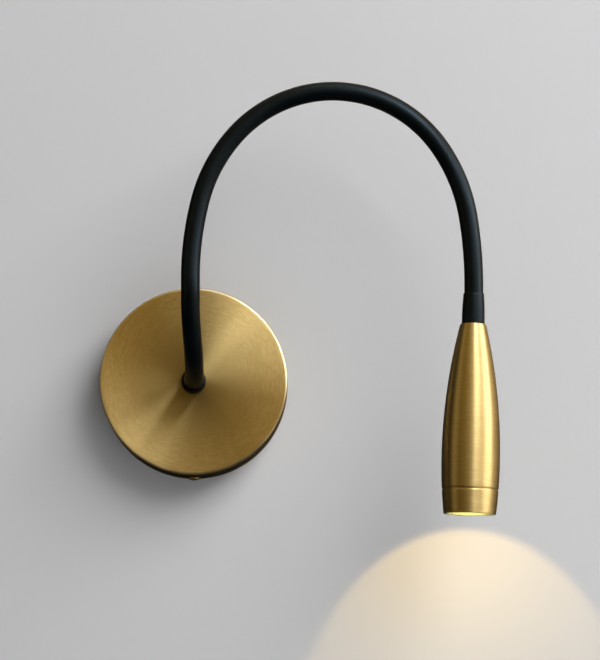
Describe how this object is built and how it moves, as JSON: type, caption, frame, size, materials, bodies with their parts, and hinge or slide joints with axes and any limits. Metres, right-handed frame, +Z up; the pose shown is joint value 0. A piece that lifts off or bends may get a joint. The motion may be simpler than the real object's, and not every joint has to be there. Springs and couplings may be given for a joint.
{
  "type": "wall lamp",
  "caption": "Wall reading lamp: round brass canopy, black flexible neck that arches sideways, slim bullet-shaped brass LED head that shines down.",
  "frame": {"origin": "centre of the canopy's back, on the wall plane, which is the centre of the plate's cable hole", "axes": "+Y points into the wall, +Z up, and +X to the right as the lamp is seen from the room"},
  "size_m": [0.2096, 0.1, 0.2257],
  "materials": {
    "brushed_brass": "satin brass, brushed round its axis",
    "screw_brass": "turned brass",
    "black_silicone": "satin black silicone sleeve",
    "black_plastic": "satin black",
    "plate_steel": "zinc plated sheet",
    "zinc_steel": "zinc plated",
    "spring_steel": "wound flat and round wire",
    "grey_plastic": "fine moulded texture",
    "white_plastic": "moulded",
    "green_board": "lacquered board",
    "white_board": "white lacquered board",
    "blue_insulation": "smooth",
    "green_insulation": "smooth",
    "white_insulation": "smooth",
    "sink_aluminium": "as machined",
    "thermal_silicone": "soft pad",
    "phosphor": "yellow phosphor under silicone",
    "lens_glass": "clear, polished",
    "seal_rubber": "matte"
  },
  "bodies": {
    "base": {"mount_plate": "plate_steel", "canopy_cover": "brushed_brass", "cover_screws": "screw_brass", "neck_collar": "black_plastic", "neck_nipple": "zinc_steel", "lock_washer": "zinc_steel", "lock_nut": "zinc_steel", "driver_case": "grey_plastic", "driver_lid": "grey_plastic", "driver_board": "green_board", "driver_screws": "zinc_steel", "terminal_block": "white_plastic", "terminal_screws": "zinc_steel", "mains_leads": "blue_insulation", "earth_lead": "green_insulation", "earth_screw": "zinc_steel", "output_leads": "white_insulation", "neck_sleeve_0": "black_silicone", "neck_core_0": "spring_steel"},
    "neck_1": {"neck_sleeve_1": "black_silicone", "neck_core_1": "spring_steel", "neck_lead_1": "white_insulation"},
    "neck_2": {"neck_sleeve_2": "black_silicone", "neck_core_2": "spring_steel", "neck_lead_2": "white_insulation"},
    "neck_3": {"neck_sleeve_3": "black_silicone", "neck_core_3": "spring_steel", "neck_lead_3": "white_insulation"},
    "neck_4": {"neck_sleeve_4": "black_silicone", "neck_core_4": "spring_steel", "neck_lead_4": "white_insulation"},
    "neck_5": {"neck_sleeve_5": "black_silicone", "neck_core_5": "spring_steel", "neck_lead_5": "white_insulation"},
    "neck_6": {"neck_sleeve_6": "black_silicone", "neck_core_6": "spring_steel", "neck_lead_6": "white_insulation"},
    "neck_7": {"neck_sleeve_7": "black_silicone", "neck_core_7": "spring_steel", "neck_lead_7": "white_insulation"},
    "neck_8": {"neck_sleeve_8": "black_silicone", "neck_core_8": "spring_steel", "neck_lead_8": "white_insulation"},
    "head": {"neck_sleeve_9": "black_silicone", "neck_core_9": "spring_steel", "neck_lead_9": "white_insulation", "head_ferrule": "black_plastic", "head_nipple": "zinc_steel", "head_lock_nut": "zinc_steel", "head_shell": "brushed_brass", "bezel": "brushed_brass", "heat_sink": "sink_aluminium", "thermal_pad": "thermal_silicone", "led_board": "white_board", "led_chip": "phosphor", "board_screws": "zinc_steel", "lens_holder": "black_plastic", "lens": "lens_glass", "bezel_seal": "seal_rubber", "head_leads": "white_insulation"}
  },
  "joints": [
    {"name": "neck_lift_1", "type": "hinge", "parent": "base", "child": "neck_1", "pos_m": [0, -0.037, 0], "axis": [1, 0, 0], "range_deg": [-8, 25]},
    {"name": "neck_swing_2", "type": "hinge", "parent": "neck_1", "child": "neck_2", "pos_m": [0, -0.07094, 0.01406], "axis": [0, -0.7071, -0.7071], "range_deg": [-30, 30]},
    {"name": "neck_lift_3", "type": "hinge", "parent": "neck_2", "child": "neck_3", "pos_m": [0, -0.085, 0.048], "axis": [1, 0, 0], "range_deg": [-12, 30]},
    {"name": "neck_bend_4", "type": "hinge", "parent": "neck_3", "child": "neck_4", "pos_m": [0.00491, -0.085, 0.088], "axis": [0, -1, 0], "range_deg": [-12, 40]},
    {"name": "neck_bend_5", "type": "hinge", "parent": "neck_4", "child": "neck_5", "pos_m": [0.02369, -0.085, 0.12332], "axis": [0, -1, 0], "range_deg": [-12, 40]},
    {"name": "neck_lean_6", "type": "hinge", "parent": "neck_5", "child": "neck_6", "pos_m": [0.05781, -0.085, 0.14382], "axis": [0.2419, 0, -0.9703], "range_deg": [-20, 25]},
    {"name": "neck_bend_7", "type": "hinge", "parent": "neck_6", "child": "neck_7", "pos_m": [0.09751, -0.085, 0.14139], "axis": [0, -1, 0], "range_deg": [-12, 40]},
    {"name": "neck_bend_8", "type": "hinge", "parent": "neck_7", "child": "neck_8", "pos_m": [0.12888, -0.085, 0.11688], "axis": [0, -1, 0], "range_deg": [-12, 40]},
    {"name": "head_tilt_9", "type": "hinge", "parent": "neck_8", "child": "head", "pos_m": [0.14389, -0.085, 0.07974], "axis": [-0.9877, 0, -0.1564], "range_deg": [-20, 40]}
  ]
}
